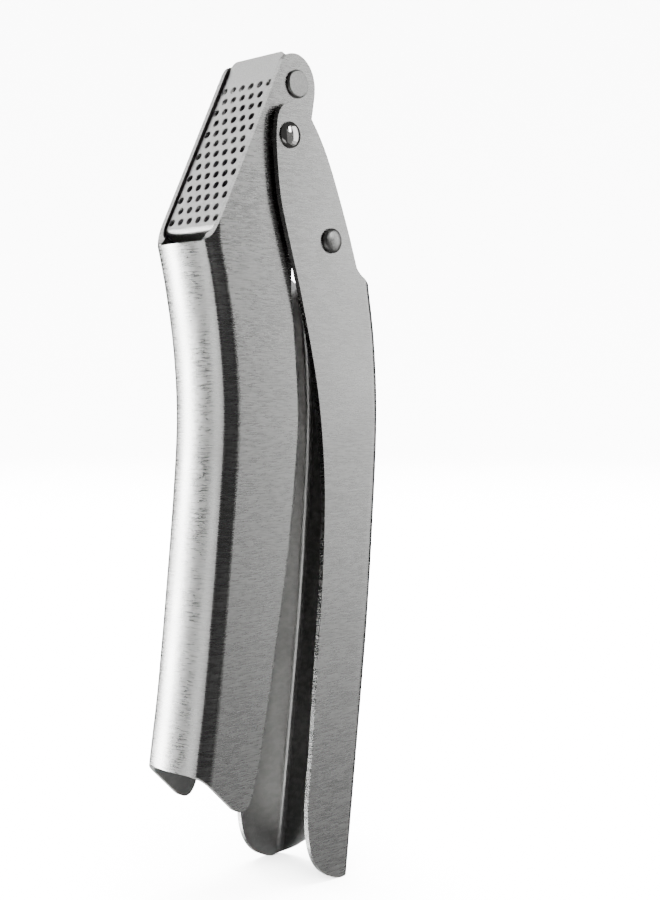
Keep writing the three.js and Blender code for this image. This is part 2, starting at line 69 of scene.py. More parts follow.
def half_width(node):
    """Half of a node's width across the press, in millimetres."""
    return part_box(node)[1].y / MM


BODY_HALF = half_width("body_handle")
LEVER_HALF = half_width("lever_handle")
SIEVE_HALF = half_width("sieve")
PLATE_HALF = half_width("press_plate")

# ---- outlines in the side view, millimetres, x to the right and z up ----------------------------
# A grip is its top and its length, and its points are [x, percent of the way down the grip].
BODY_GRIP = (-46.5, 112.0)
LEVER_GRIP = (-47.2, 129.0)
BODY_SPINE = [(-14.3, 9.9), (-13.45, 22.8), (-14.4, 37.1), (-16.6, 56.7), (-19.1, 76), (-21.4, 89.7),
              (-22.8, 100)]
LEVER_SPINE = [(30.1, 6.8), (30.85, 20), (29.7, 37.1), (27.4, 58), (24, 79.7), (20.7, 101.4)]
BODY_BACK_GRIP = [(-5, 86.9), (-0.9, 68), (3, 48.8), (5.6, 29.4), (5.95, 20.1), (5, 7.9), (4.2, 0)]
BODY_BACK_HEAD = [(4.3, -40), (5.2, -30), (8, -18), (10.35, -6.9), (11.3, -1.6)]
BODY_TIP = [(-21.2, 90), (-12.9, 97.1), (-9.2, 99.7), (-7.4, 95)]
LEVER_FRONT_HEAD = [(-1.95, -14), (-0.95, -23.9), (1, -31.6)]
LEVER_FRONT_GRIP = [(5.7, 0), (10.4, 15.3), (12.35, 30.1), (12, 44), (10.6, 58), (8.8, 73.9),
                    (7.2, 85.9), (7.3, 90.5)]
LEVER_TIP = [(7.8, 96.7), (12, 99.2), (17.2, 100)]
LEVER_HEAD_BACK = [(19.3, -29.4), (14.6, -17.9), (11.5, -11.9), (8.4, -7.35)]
LEVER_WEB_TOP = -42.6
BEYOND = 45.0  # farther out than any piece

# ---- small sizes, millimetres -------------------------------------------------------------------
# A head is how far it reaches past its shank, and its height.
PIVOT_HEAD = (0.85, 1.05)
PLUNGER_HEAD = (0.75, 1.2)
SIEVE_RIVET_HEAD = 1.05
WASHER_WALL = 1.05
SPACER_WALL = 1.35
SLEEVE_WALL = 1.05
LIP_CLEARANCE = 0.9
PLATE_CORNER = 1.5
BRACKET_BEND = 1.8
BRACKET_INSET = 1.4
BRACKET_FOOT = 4.5
BRACKET_EYE_WALL = 2.05
PLATE_RIVET = {"radius": 1.1, "head": 2.0, "sink": 0.9, "dome": 0.8, "hole": 1.25, "sunk_hole": 2.35}
SMALL_EDGE = 0.08


class PressSizes(bpy.types.PropertyGroup):
    """Sheet, folds and holes of the press."""
    sheet: FloatProperty(name="Sheet", description="Wall of both handles", default=1.2 * MM, unit="LENGTH")
    body_bend: FloatProperty(name="Body fold", description="Outside radius of the body handle's folds",
                             default=3.0 * MM, unit="LENGTH")
    lever_bend: FloatProperty(name="Lever fold", description="Outside radius of the lever's folds",
                              default=3.0 * MM, unit="LENGTH")
    web_lean: FloatProperty(name="Web lean", description="Lean of a web's edges, which crowns it",
                            default=math.radians(12), subtype="ANGLE")
    edge_round: FloatProperty(name="Edge round", description="Round of the sheets' cut edges",
                              default=0.28 * MM, unit="LENGTH")
    shank: FloatProperty(name="Shank", description="Radius of the rivets and of the plunger pin",
                         default=2.0 * MM, unit="LENGTH")
    fit: FloatProperty(name="Fit", description="Radial gap of a rivet in its hole", default=0.15 * MM,
                       unit="LENGTH")
    face_gap: FloatProperty(name="Face gap", description="Gap between faces that touch", default=0.1 * MM,
                            unit="LENGTH")


class SieveSizes(bpy.types.PropertyGroup):
    """The perforated sieve plate."""
    tilt: FloatProperty(name="Tilt", description="Lean of the sieve from the vertical",
                        default=math.radians(26.5), subtype="ANGLE")
    sheet: FloatProperty(name="Sieve sheet", description="Thickness of the sieve", default=1.0 * MM,
                         unit="LENGTH")
    tab: FloatProperty(name="Tab", description="Thickness of a hinge tab", default=0.8 * MM, unit="LENGTH")
    hole: FloatProperty(name="Hole radius", description="Radius of a sieve hole", default=0.9 * MM,
                        unit="LENGTH")
    pitch: FloatProperty(name="Hole pitch", description="Hole to hole across the sieve",
                         default=2.9 * MM, unit="LENGTH")
    row_pitch: FloatProperty(name="Row pitch", description="Row to row down the sieve",
                             default=2.82 * MM, unit="LENGTH")
    rows: IntProperty(name="Rows", description="Rows of holes", default=13, min=1)
    in_long_row: IntProperty(name="Holes in a long row", description="Every other row has one less",
                             default=6, min=2)
    flap: FloatProperty(name="Flap", description="Plain flap above the top row", default=8.1 * MM,
                        unit="LENGTH")
    margin: FloatProperty(name="Lip margin", description="Plain strip below the bottom row",
                          default=1.4 * MM, unit="LENGTH")
    lip_bend: FloatProperty(name="Lip fold", description="Outside radius of the lip's fold",
                            default=1.5 * MM, unit="LENGTH")
    lip: FloatProperty(name="Lip depth", description="How far the lip reaches into the chamber",
                       default=8.0 * MM, unit="LENGTH")


class PlungerSizes(bpy.types.PropertyGroup):
    """The plunger that hangs on the lever."""
    closing: FloatProperty(name="Closing turn", description="How far the lever turns to close",
                           default=math.radians(11), subtype="ANGLE")
    closed_gap: FloatProperty(name="Closed gap", description="Gap from press plate to sieve when closed",
                              default=0.6 * MM, unit="LENGTH")
    plate: FloatProperty(name="Plate", description="Thickness of the press plate", default=2.5 * MM,
                         unit="LENGTH")
    length: FloatProperty(name="Plate length", description="Length of the press plate", default=30.5 * MM,
                          unit="LENGTH")
    rivets: FloatProperty(name="Rivet spacing", description="Between the press plate's two rivets",
                          default=15 * MM, unit="LENGTH")


class PressFinish(bpy.types.PropertyGroup):
    """Colours of the steels, and the depth of the handles' grain."""
    satin: FloatVectorProperty(name="Satin steel", description="Colour of both handles", size=3,
                               default=(0.56, 0.56, 0.55), subtype="COLOR", min=0, max=1)
    sieve: FloatVectorProperty(name="Sieve steel", description="Colour of the sieve", size=3,
                               default=(0.74, 0.74, 0.73), subtype="COLOR", min=0, max=1)
    pin: FloatVectorProperty(name="Pin steel", description="Colour of pins, washers and flat rivets",
                             size=3, default=(0.5, 0.5, 0.49), subtype="COLOR", min=0, max=1)
    # The inner colour is a darker copy of the satin steel for the channels' insides: painted shade.
    inner: FloatVectorProperty(name="Inner shade steel", description="Colour inside the handles", size=3,
                               default=(0.44, 0.44, 0.435), subtype="COLOR", min=0, max=1)
    # The near-black colour on the press plate and bracket darkens what is seen through the sieve's holes:
    # painted shade.
    dark_shade: FloatVectorProperty(name="Dark shade steel", description="Colour of the press plate and bracket", size=3,
                              default=(0.12, 0.12, 0.118), subtype="COLOR", min=0, max=1)
    polished: FloatVectorProperty(name="Polished steel", description="Colour of the domed pivot rivets",
                                  size=3, default=(0.86, 0.85, 0.83), subtype="COLOR", min=0, max=1)
    grain: FloatProperty(name="Grain depth", description="Depth of the grain across the handles",
                         default=0.003 * MM, unit="LENGTH")


# ---- drawing outlines -------------------------------------------------------------------------
def on_grip(grip, points):
    """A grip's points as places in the side view."""
    top, length = grip
    return [(x, top - length * percent / 100) for x, percent in points]


def smooth_through(points, steps=8):
    """Places along the smooth curve through the points, after the first one."""
    made = []
    last = len(points) - 1
    for i in range(last):
        before, start, end = points[max(i - 1, 0)], points[i], points[i + 1]
        after = points[min(i + 2, last)]
        for k in range(1, steps + 1):
            t = k / steps
            place = []
            for p0, p1, p2, p3 in zip(before, start, end, after):
                v0, v1 = (p2 - p0) / 2, (p3 - p1) / 2
                place.append((2 * p1 - 2 * p2 + v0 + v1) * t ** 3
                             + (-3 * p1 + 3 * p2 - 2 * v0 - v1) * t ** 2 + v0 * t + p1)
            made.append(tuple(place))
    return made


class Outline:
    """A closed outline drawn from a start by lines, curves and arcs."""

    def __init__(self, *start):
        self.points = [start]

    def line(self, *places):
        self.points.extend(places)
        return self

    def bend(self, *controls, steps=10):
        """A Bezier curve to the last of the controls."""
        ring = [self.points[-1], *controls]
        for k in range(1, steps + 1):
            left = [Vector(p) for p in ring]
            while len(left) > 1:
                left = [a.lerp(b, k / steps) for a, b in zip(left, left[1:])]
            self.points.append(tuple(left[0]))
        return self

    def through(self, places):
        self.points.extend(smooth_through([self.points[-1], *places]))
        return self

    def arc(self, centre, radii, start, end, steps=24):
        wide, tall = radii
        for k in range(steps + 1):
            angle = start + (end - start) * k / steps
            self.points.append((centre[0] + wide * math.cos(angle), centre[1] + tall * math.sin(angle)))
        return self

    def clean(self):
        """The places with none closer than a hundredth of a millimetre to the one before."""
        kept = []
        for place in self.points:
            if not kept or math.dist(place, kept[-1]) > 0.01:
                kept.append(place)
        if math.dist(kept[0], kept[-1]) < 0.01:
            kept.pop()
        return kept


# ---- modelling by operators --------------------------------------------------------------------
def deselect():
    bpy.ops.object.select_all(action="DESELECT")


def only(obj):
    deselect()
    obj.select_set(True)
    bpy.context.view_layer.objects.active = obj
    return obj


def edit(obj, *steps):
    """Runs modelling steps on the whole of a mesh in edit mode."""
    only(obj)
    bpy.ops.object.mode_set(mode="EDIT")
    bpy.ops.mesh.select_all(action="SELECT")
    for step in steps:
        step()
    bpy.ops.object.mode_set(mode="OBJECT")
    return obj


def outward():
    bpy.ops.mesh.select_all(action="SELECT")
    bpy.ops.mesh.remove_doubles(threshold=0.001 * MM)
    bpy.ops.mesh.normals_make_consistent(inside=False)


def polygon(name, places, fill="NGON"):
    """A flat piece: a disc, or a bare ring, with a corner for each place, pulled to shape."""
    deselect()
    bpy.ops.mesh.primitive_circle_add(vertices=len(places), radius=MM, fill_type=fill)
    obj = bpy.context.object
    obj.name = name
    obj.data.name = name
    for corner, place in zip(obj.data.vertices, places):
        corner.co = place
    return obj


def extrude(way):
    bpy.ops.mesh.extrude_region_move(TRANSFORM_OT_translate={"value": way})


def in_press(x, y, z):
    """A place of the side view, in metres in the frame."""
    return (SIEVE_ROW + Vector((x, y, z))) * MM


def slab(name, outline, y_low, y_high, place=in_press):
    """A plate with an outline in the side view and its thickness across the press."""
    obj = polygon(name, [place(x, y_low, z) for x, z in outline])
    way = place(0, y_high, 0) - place(0, y_low, 0)
    return edit(obj, lambda: extrude(way), outward)


def front_plate(name, outline, x_low, x_high, place=in_press):
    """A plate with an outline across the press and up it, and its thickness along x."""
    obj = polygon(name, [place(x_low, y, z) for y, z in outline])
    way = place(x_high, 0, 0) - place(x_low, 0, 0)
    return edit(obj, lambda: extrude(way), outward)


def spun(name, places, centre, axis, steps=72):
    """A piece spun from a line of places about an axis; a line from axis to axis is left open."""
    obj = polygon(name, places, fill="NOTHING")

    def drop_closing_edge():
        bpy.ops.mesh.select_all(action="DESELECT")
        bpy.ops.object.mode_set(mode="OBJECT")
        ends = {0, len(places) - 1}
        for line in obj.data.edges:
            line.select = set(line.vertices) == ends
        bpy.ops.object.mode_set(mode="EDIT")
        bpy.ops.mesh.delete(type="EDGE")
        bpy.ops.mesh.select_all(action="SELECT")

    def spin():
        bpy.ops.mesh.spin(steps=steps, angle=2 * math.pi, center=centre, axis=axis)

    starts_on_axis = (places[0] - centre).cross(axis).length < 1e-9
    if starts_on_axis:
        return edit(obj, drop_closing_edge, spin, outward)
    return edit(obj, spin, outward)


def turned(name, profile, centre, place=in_press, steps=72, side=1):
    """A piece turned about an axis across the press; the profile is [radius, y], from axis to axis."""
    x, z = centre
    places = [place(x + radius, side * y, z) for radius, y in profile]
    return spun(name, places, place(x, 0, z), Vector((0, 1, 0)), steps)


def finish_with(obj, kind, **settings):
    """Adds a modifier with these settings and applies it."""
    only(obj)
    modifier = obj.modifiers.new(kind.title(), kind)
    for name, value in settings.items():
        setattr(modifier, name, value)
    bpy.ops.object.modifier_apply(modifier=modifier.name)
    return obj


def cut(obj, *cutters, operation="DIFFERENCE"):
    for cutter in cutters:
        finish_with(obj, "BOOLEAN", object=cutter, operation=operation, solver="EXACT")
        bpy.data.objects.remove(cutter)
    return obj


def joined(objects):
    """Separate solids as one mesh."""
    deselect()
    for obj in objects:
        obj.select_set(True)
    bpy.context.view_layer.objects.active = objects[0]
    bpy.ops.object.join()
    return objects[0]


def softened(obj, width, segments=3, angle=math.radians(40)):
    """Rounds a piece's sharp edges and shades it smooth, with flat faces kept flat."""
    edit(obj, outward, lambda: bpy.ops.mesh.dissolve_limited(angle_limit=math.radians(0.3)))
    finish_with(obj, "BEVEL", width=width, segments=segments, limit_method="ANGLE", angle_limit=angle,
                use_clamp_overlap=True)
    only(obj)
    bpy.ops.object.shade_smooth()
    finish_with(obj, "WEIGHTED_NORMAL", keep_sharp=True, weight=100)
    return obj


def settle(obj, node, body, slot, finish=None):
    """Gives a finished piece its finish, which is its slot's if none is named, its name and its body, and
    hides the CAD node.
    """
    obj.data.materials.clear()
    obj.data.materials.append(finish_of(finish or slot))
    obj.name = node + "_steel"
    obj.data.name = obj.name
    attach(obj, body)
    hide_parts(node)
    return obj


def settle_small(obj, node, body, slot, edge, finish=None):
    """Settles a small piece once its edges are rounded by so many millimetres."""
    softened(obj, edge * MM, segments=2)
    return settle(obj, node, body, slot, finish)


def bar(centre, radius, y_low, y_high, place=in_press):
    """A round cutter across the press."""
    return turned("bar", [(0, y_low), (radius, y_low), (radius, y_high), (0, y_high)], centre, place, 64)


# ---- steels -------------------------------------------------------------------------------------
def steel(name, colour, gloss, depth, streak, anisotropy=0.0, mottle=0.12):
    """A steel with a fine grain. streak is the grain's fineness along x, y and z, per metre."""
    material = bpy.data.materials.new(name + "_finish")
    material.use_nodes = True
    nodes, links = material.node_tree.nodes, material.node_tree.links
    shader = nodes["Principled BSDF"]
    shader.inputs["Metallic"].default_value = 1.0
    shader.inputs["Anisotropic"].default_value = anisotropy
    where = nodes.new("ShaderNodeTexCoord")

    def noise(fineness, size):
        mapping = nodes.new("ShaderNodeMapping")
        mapping.inputs["Scale"].default_value = fineness
        links.new(where.outputs["Object"], mapping.inputs["Vector"])
        texture = nodes.new("ShaderNodeTexNoise")
        texture.inputs["Scale"].default_value = size
        texture.inputs["Detail"].default_value = 3
        texture.inputs["Roughness"].default_value = 0.5
        texture.inputs["Distortion"].default_value = 0.4
        links.new(mapping.outputs["Vector"], texture.inputs["Vector"])
        return texture.outputs["Fac"]

    def ranged(value, low, high, to_low, to_high):
        node = nodes.new("ShaderNodeMapRange")
        for socket, number in zip(("From Min", "From Max", "To Min", "To Max"), (low, high, to_low, to_high)):
            node.inputs[socket].default_value = number
        links.new(value, node.inputs["Value"])
        return node.outputs["Result"]

    fine = noise(streak, 1.0)
    cloud = noise((1, 1, 1), 60)
    mix = nodes.new("ShaderNodeMix")
    mix.data_type = "RGBA"
    dark = [channel * (1 - mottle) for channel in colour]
    light = [min(1, channel * (1 + mottle)) for channel in colour]
    mix.inputs["A"].default_value = (*dark, 1)
    mix.inputs["B"].default_value = (*light, 1)
    links.new(ranged(fine, 0.4, 0.6, 0, 1), mix.inputs["Factor"])
    links.new(mix.outputs["Result"], shader.inputs["Base Color"])
    gloss_sum = nodes.new("ShaderNodeMath")
    gloss_sum.operation = "ADD"
    links.new(ranged(fine, 0.3, 0.7, gloss - 0.04, gloss + 0.06), gloss_sum.inputs[0])
    links.new(ranged(cloud, 0.35, 0.65, -0.02, 0.03), gloss_sum.inputs[1])
    links.new(gloss_sum.outputs["Value"], shader.inputs["Roughness"])
    bump = nodes.new("ShaderNodeBump")
    bump.inputs["Strength"].default_value = 1.0
    bump.inputs["Distance"].default_value = depth
    links.new(fine, bump.inputs["Height"])
    links.new(bump.outputs["Normal"], shader.inputs["Normal"])
    if anisotropy:
        upward = nodes.new("ShaderNodeVectorTransform")
        upward.vector_type = "VECTOR"
        upward.convert_from, upward.convert_to = "OBJECT", "WORLD"
        upward.inputs["Vector"].default_value = (0, 0, 1)
        links.new(upward.outputs["Vector"], shader.inputs["Tangent"])
    return material


def satin_steel():
    finish = bpy.context.scene.press_finish
    return steel("satin_steel", finish.satin, 0.27, finish.grain, streak=(380, 380, 3400),
                 anisotropy=0.6)


def sieve_steel():
    finish = bpy.context.scene.press_finish
    return steel("sieve_steel", finish.sieve, 0.36, 0.02 * MM, streak=(3500, 3500, 3500), mottle=0.1)


def pin_steel():
    finish = bpy.context.scene.press_finish
    return steel("pin_steel", finish.pin, 0.36, 0.006 * MM, streak=(2500, 300, 2500))


# The darker inside colour stands for the shade in the channels' hollows: painted shade.
def inner_shade_steel():
    finish = bpy.context.scene.press_finish
    return steel("inner_shade_steel", finish.inner, 0.36, 0.003 * MM, streak=(500, 500, 900), mottle=0.06)


# Near-black copy of the steel for the pieces behind the sieve: painted shade, so the holes read black.
def dark_shade_steel():
    finish = bpy.context.scene.press_finish
    return steel("dark_shade_steel", finish.dark_shade, 0.4, 0.003 * MM, streak=(500, 500, 900), mottle=0.06)


def polished_steel():
    finish = bpy.context.scene.press_finish
    return steel("polished_steel", finish.polished, 0.1, 0.002 * MM, streak=(900, 900, 900), mottle=0.03)


def finish_of(name):
    """The finish with that name, made on first use."""
    makers = {"satin_steel": satin_steel, "sieve_steel": sieve_steel, "pin_steel": pin_steel,
              "polished_steel": polished_steel, "dark_shade_steel": dark_shade_steel, "inner_shade_steel": inner_shade_steel}
    return bpy.data.materials.get(name + "_finish") or makers[name]()


# ---- folded channels ----------------------------------------------------------------------------
def wall(open_x, half, bend, inset, lean, bend_steps=10, web_steps=12):
    """One wall of a folded channel with its web at x = 0: flange, fold, crowned web, fold, flange."""
    way = math.copysign(1, open_x)
    radius = bend - inset
    centre_y = half - bend
    crown = (centre_y + radius * math.sin(lean)) / math.sin(lean)
    crown_x = bend + (crown - radius) * math.cos(lean)
    upper = [(open_x, half - inset)]
    for i in range(bend_steps + 1):
        angle = math.pi / 2 - (i / bend_steps) * (math.pi / 2 - lean)
        upper.append((way * (bend - radius * math.cos(angle)), centre_y + radius * math.sin(angle)))
    for i in range(1, web_steps // 2):
        angle = lean * (1 - 2 * i / web_steps)
        upper.append((way * (crown_x - crown * math.cos(angle)), crown * math.sin(angle)))
    middle = (way * (crown_x - crown), 0)
    return [*upper, middle, *[(x, -y) for x, y in reversed(upper)]]


def channel(name, spine, depth, half, bend):
    """A folded channel: its section pushed down along the spine, one short step after another."""
    sizes = bpy.context.scene.press_sizes
    lean = sizes.web_lean
    section = wall(depth, half, bend, 0, lean) + wall(depth, half, bend, sizes.sheet / MM, lean)[::-1]
    top_x, top_z = spine[0]
    obj = polygon(name, [in_press(top_x + x, y, top_z) for x, y in section])

    def push_down():
        for (x, z), (next_x, next_z) in zip(spine, spine[1:]):
            extrude(((next_x - x) * MM, 0, (next_z - z) * MM))

    return edit(obj, push_down, outward)


def paint_inner_shade(obj, half, opening):
    """Paints shade inside a channel: its inner flange and web faces get the darker inner colour, a painted
    shade.
    """
    sheet = bpy.context.scene.press_sizes.sheet / MM
    obj.data.materials.append(finish_of("inner_shade_steel"))
    for face in obj.data.polygons:
        y = face.center.y / MM
        on_flange = face.normal.y * math.copysign(1, y) < -0.4
        on_web = face.normal.x * opening > 0.4 and abs(y) < half - 1.1 * sheet
        if on_flange or on_web:
            face.material_index = 1


def sieve_frame(x, y, z):
    """A place given in the tilted sieve's own frame, in metres in the frame."""
    tilt = bpy.context.scene.sieve_sizes.tilt
    return in_press(x * math.cos(tilt) + z * math.sin(tilt), y, z * math.cos(tilt) - x * math.sin(tilt))


def in_sieve(place):
    """A place of the side view, given in the sieve's frame."""
    tilt = bpy.context.scene.sieve_sizes.tilt
    x, z = place
    return (x * math.cos(tilt) - z * math.sin(tilt), x * math.sin(tilt) + z * math.cos(tilt))


def sieve_levels():
    """Heights in the sieve's frame: the lip's fold and its under and upper faces, in millimetres."""
    sizes = bpy.context.scene.sieve_sizes
    fold = -((sizes.rows - 1) * sizes.row_pitch + sizes.margin) / MM
    outer = fold - sizes.lip_bend / MM
    return fold, outer, outer + sizes.sheet / MM


def body_outline():
    """The body handle's flange and head from the side, and where its web's top comes."""
    tilt = bpy.context.scene.sieve_sizes.tilt
    under_lip = sieve_levels()[1] - 0.6
    proud = -0.52
    sill = (proud * math.cos(tilt) + under_lip * math.sin(tilt),
            under_lip * math.cos(tilt) - proud * math.sin(tilt))
    corner, first, control, last = on_grip(BODY_GRIP, BODY_TIP)
    web_top = sill[1] - 2.2
    drawn = Outline(-BEYOND, corner[1]).line(corner, first).bend(control, last)
    drawn.through(on_grip(BODY_GRIP, BODY_BACK_GRIP) + BODY_BACK_HEAD)
    drawn.arc((SIEVE_PIVOT[0] - 0.5, SIEVE_PIVOT[1] - 0.3), (6.05, 6.85), 0, 1.95)
    drawn.bend((1.9, 5.6), (0.95, 3.4)).line(sill)
    drawn.bend((sill[0] - 0.6, sill[1] - 1.5), (sill[0] - 1.9, web_top)).line((-BEYOND, web_top))
    return drawn.clean(), (sill[0] - 1.4, web_top)


def lever_outline():
    """The lever's flange and head from the side."""
    drawn = Outline(BEYOND, LEVER_WEB_TOP).line((28.1, LEVER_WEB_TOP))
    drawn.bend((26.6, -42.3), (25.2, -41)).bend((23.6, -40.2), (22.6, -38.8))
    drawn.through(LEVER_HEAD_BACK).bend((5.4, -4.3), (3, -4.3)).bend((-1.3, -4.6), (-1.8, -9.5))
    drawn.through(LEVER_FRONT_HEAD + on_grip(LEVER_GRIP, LEVER_FRONT_GRIP))
    drawn.bend(*on_grip(LEVER_GRIP, LEVER_TIP), steps=20)
    drawn.line((BEYOND, LEVER_GRIP[0] - LEVER_GRIP[1]))
    return drawn.clean()


class PRESS_OT_body_handle(bpy.types.Operator):
    """Fold the narrow body handle that holds the chamber"""
    bl_idname = "press.body_handle"
    bl_label = "Body Handle"

    def execute(self, context):
        sizes = context.scene.press_sizes
        outline, web_top = body_outline()
        low_spine = smooth_through([web_top, (-16.4, -44.6), *on_grip(BODY_GRIP, BODY_SPINE)])
        obj = channel("body_handle", [(web_top[0], 20), web_top, *low_spine], 48, BODY_HALF,
                      sizes.body_bend / MM)
        reach = BODY_HALF + 3
        mouth_half = BODY_HALF - sizes.body_bend / MM
        mouth = slab("mouth", [(web_top[0] - 8, web_top[1]), (web_top[0] + 8, web_top[1]),
                               (web_top[0] + 8, 30), (web_top[0] - 8, 30)], -mouth_half, mouth_half)
        cut(obj, slab("outline", outline, -reach, reach), operation="INTERSECT")
        cut(obj, mouth)
        hole = (sizes.shank + sizes.fit) / MM
        cut(obj, bar(MAIN_PIVOT, hole, -reach, reach), bar(SIEVE_PIVOT, hole, -reach, reach))
        softened(obj, sizes.edge_round)
        settle(obj, "body_handle", "body", "satin_steel")
        # Painted shade on the body channel's inner faces.
        paint_inner_shade(obj, BODY_HALF, 1)
        return {"FINISHED"}


class PRESS_OT_lever_handle(bpy.types.Operator):
    """Fold the wide lever handle that closes over the body"""
    bl_idname = "press.lever_handle"
    bl_label = "Lever Handle"

    def execute(self, context):
        sizes = context.scene.press_sizes
        top = (28.1, LEVER_WEB_TOP)
        spine = [(top[0], 20), top, *smooth_through([top, *on_grip(LEVER_GRIP, LEVER_SPINE)])]
        obj = channel("lever_handle", spine, -52, LEVER_HALF, sizes.lever_bend / MM)
        reach = LEVER_HALF + 3
        mouth_half = LEVER_HALF - sizes.lever_bend / MM
        mouth = slab("mouth", [(18, LEVER_WEB_TOP), (40, LEVER_WEB_TOP), (40, 30), (18, 30)],
                     -mouth_half, mouth_half)
        cut(obj, slab("outline", lever_outline(), -reach, reach), operation="INTERSECT")
        cut(obj, mouth, self.arch())
        hole = (sizes.shank + sizes.fit) / MM
        cut(obj, bar(MAIN_PIVOT, hole, -reach, reach), bar(PLUNGER_PIVOT, hole, -reach, reach))
        softened(obj, sizes.edge_round)
        settle(obj, "lever_handle", "lever", "satin_steel")
        # Painted shade on the lever channel's inner faces.
        paint_inner_shade(obj, LEVER_HALF, -1)
        return {"FINISHED"}

    def arch(self):
        """What is cut from the bottom of the web, between the flange tips."""
        bottom = LEVER_GRIP[0] - LEVER_GRIP[1]
        crown = bottom + 6
        side = LEVER_HALF - 0.5
        inside_web = 18.2
        drawn = Outline(-side, bottom - 1).line((side, bottom - 1), (side, bottom))
        drawn.through([(0.65 * side, crown - 4), (0.32 * side, crown - 1.5), (0, crown),
                       (-0.32 * side, crown - 1.5), (-0.65 * side, crown - 4), (-side, bottom)])
        return front_plate("arch", drawn.clean(), inside_web, BEYOND)


class PRESS_OT_sieve(bpy.types.Operator):
    """Make the sieve plate with its holes, folded lip and hinge tabs"""
    bl_idname = "press.sieve"
    bl_label = "Sieve"

    def execute(self, context):
        sizes = context.scene.sieve_sizes
        sheet, tab, flap = sizes.sheet / MM, sizes.tab / MM, sizes.flap / MM
        fold, outer, inner = sieve_levels()
        bend, lip = sizes.lip_bend / MM, sizes.lip / MM
        side = Outline(0, flap).line((0, fold))
        side.arc((bend, fold), (bend, bend), math.pi, 1.5 * math.pi, 12)
        side.line((lip, outer), (lip, inner))
        side.arc((bend, fold), (bend - sheet, bend - sheet), 1.5 * math.pi, math.pi, 12)
        side.line((sheet, flap))
        obj = slab("sieve", side.clean(), -SIEVE_HALF, SIEVE_HALF, sieve_frame)
        corner = 1.3
        front = Outline(-SIEVE_HALF, outer - 1).line((SIEVE_HALF, outer - 1))
        front.arc((SIEVE_HALF - corner, flap - corner), (corner, corner), 0, math.pi / 2, 10)
        front.arc((corner - SIEVE_HALF, flap - corner), (corner, corner), math.pi / 2, math.pi, 10)
        cut(obj, front_plate("front", front.clean(), -1, lip + 1, sieve_frame), operation="INTERSECT")
        pivot = in_sieve(SIEVE_PIVOT)
        hole = (context.scene.press_sizes.shank + context.scene.press_sizes.fit) / MM
        radius = hole + 1.05
        for low in (SIEVE_HALF - tab, -SIEVE_HALF):
            ear = Outline(sheet / 2, flap - corner).line((sheet / 2, pivot[1] - radius))
            ear.line((2 * sheet, pivot[1] - radius))
            ear.arc(pivot, (radius, radius), -0.4 * math.pi, 0.3 * math.pi)
            cut(obj, slab("ear", ear.clean(), low, low + tab, sieve_frame), operation="UNION")
        cut(obj, bar(pivot, hole, -SIEVE_HALF - 1, SIEVE_HALF + 1, sieve_frame))
        cut(obj, self.holes(sizes))
        softened(obj, 0.06 * MM, segments=2)
        settle(obj, "sieve", "sieve", "sieve_steel")
        return {"FINISHED"}

    def holes(self, sizes):
        """The drills for all the holes, as one cutter."""
        pitch, row_pitch, radius = sizes.pitch / MM, sizes.row_pitch / MM, sizes.hole / MM
        across = (sizes.in_long_row - 1) * pitch
        drills = []
        turns = [a * math.pi / 12 for a in range(24)]
        circle = [(radius * math.cos(turn), radius * math.sin(turn)) for turn in turns]
        for row in range(sizes.rows):
            short = row % 2
            for i in range(sizes.in_long_row - short):
                y, z = (i + short / 2) * pitch - across / 2, -row * row_pitch
                ring = [(y + a, z + b) for a, b in circle]
                drills.append(front_plate("drill", ring, -1, 2, sieve_frame))
        return joined(drills)


def dome(radius, height, y, rim=0.25, steps=12):
    """A low dome's profile from its rim, at y, to the axis."""
    made = []
    for i in range(steps):
        angle = i / steps * math.pi / 2
        made.append((radius * math.cos(angle), y + height * (rim + (1 - rim) * math.sin(angle))))
    return [*made, (0, y + height)]


def washer(wall_width, y_low, y_high):
    """A ring's profile round a rivet's hole."""
    sizes = bpy.context.scene.press_sizes
    inner = (sizes.shank + sizes.fit) / MM
    outer = inner + wall_width
    return [(inner, y_low), (outer, y_low), (outer, y_high), (inner, y_high)]


class PRESS_OT_pivots(bpy.types.Operator):
    """Turn the domed pivot rivets, the flat sieve rivets and the washers"""
    bl_idname = "press.pivots"
    bl_label = "Pivots"

    def execute(self, context):
        sizes = context.scene.press_sizes
        sieve = context.scene.sieve_sizes
        shank, gap, sheet = sizes.shank / MM, sizes.face_gap / MM, sizes.sheet / MM
        inside = SIEVE_HALF - sieve.tab / MM
        beside_lever = LEVER_HALF - sheet - gap
        for end, side in (("near", -1), ("far", 1)):
            under, head = LEVER_HALF + gap, shank + PIVOT_HEAD[0]
            profile = [(0, BODY_HALF - sheet + gap), (shank, BODY_HALF - sheet + gap), (shank, under),
                       (head, under), *dome(head, PIVOT_HEAD[1], under, 0.12)]
            self.turn(f"main_pivot_rivet_{end}", profile, MAIN_PIVOT, side, "polished_steel", 0.1)
            under, head, chamfer = BODY_HALF + gap, shank + SIEVE_RIVET_HEAD, 0.3
            profile = [(0, inside), (shank, inside), (shank, under), (head, under),
                       (head, beside_lever - chamfer), (head - chamfer, beside_lever), (0, beside_lever)]
            self.turn(f"sieve_rivet_{end}", profile, SIEVE_PIVOT, side, "pin_steel", 0.1)
            profile = washer(WASHER_WALL, BODY_HALF + gap, beside_lever)
            self.turn(f"main_pivot_washer_{end}", profile, MAIN_PIVOT, side, "pin_steel", SMALL_EDGE)
        return {"FINISHED"}

    def turn(self, node, profile, pivot, side, slot, edge):
        settle_small(turned(node, profile, pivot, side=side), node, "body", slot, edge)


def plunger_frame(x, y, z):
    """A place given in the plunger's own frame, with its pin at the middle, in metres in the frame."""
    tilt = bpy.context.scene.sieve_sizes.tilt + bpy.context.scene.plunger_sizes.closing / 2
    pin_x, pin_z = PLUNGER_PIVOT
    return in_press(pin_x + x * math.cos(tilt) + z * math.sin(tilt), y,
                    pin_z + z * math.cos(tilt) - x * math.sin(tilt))


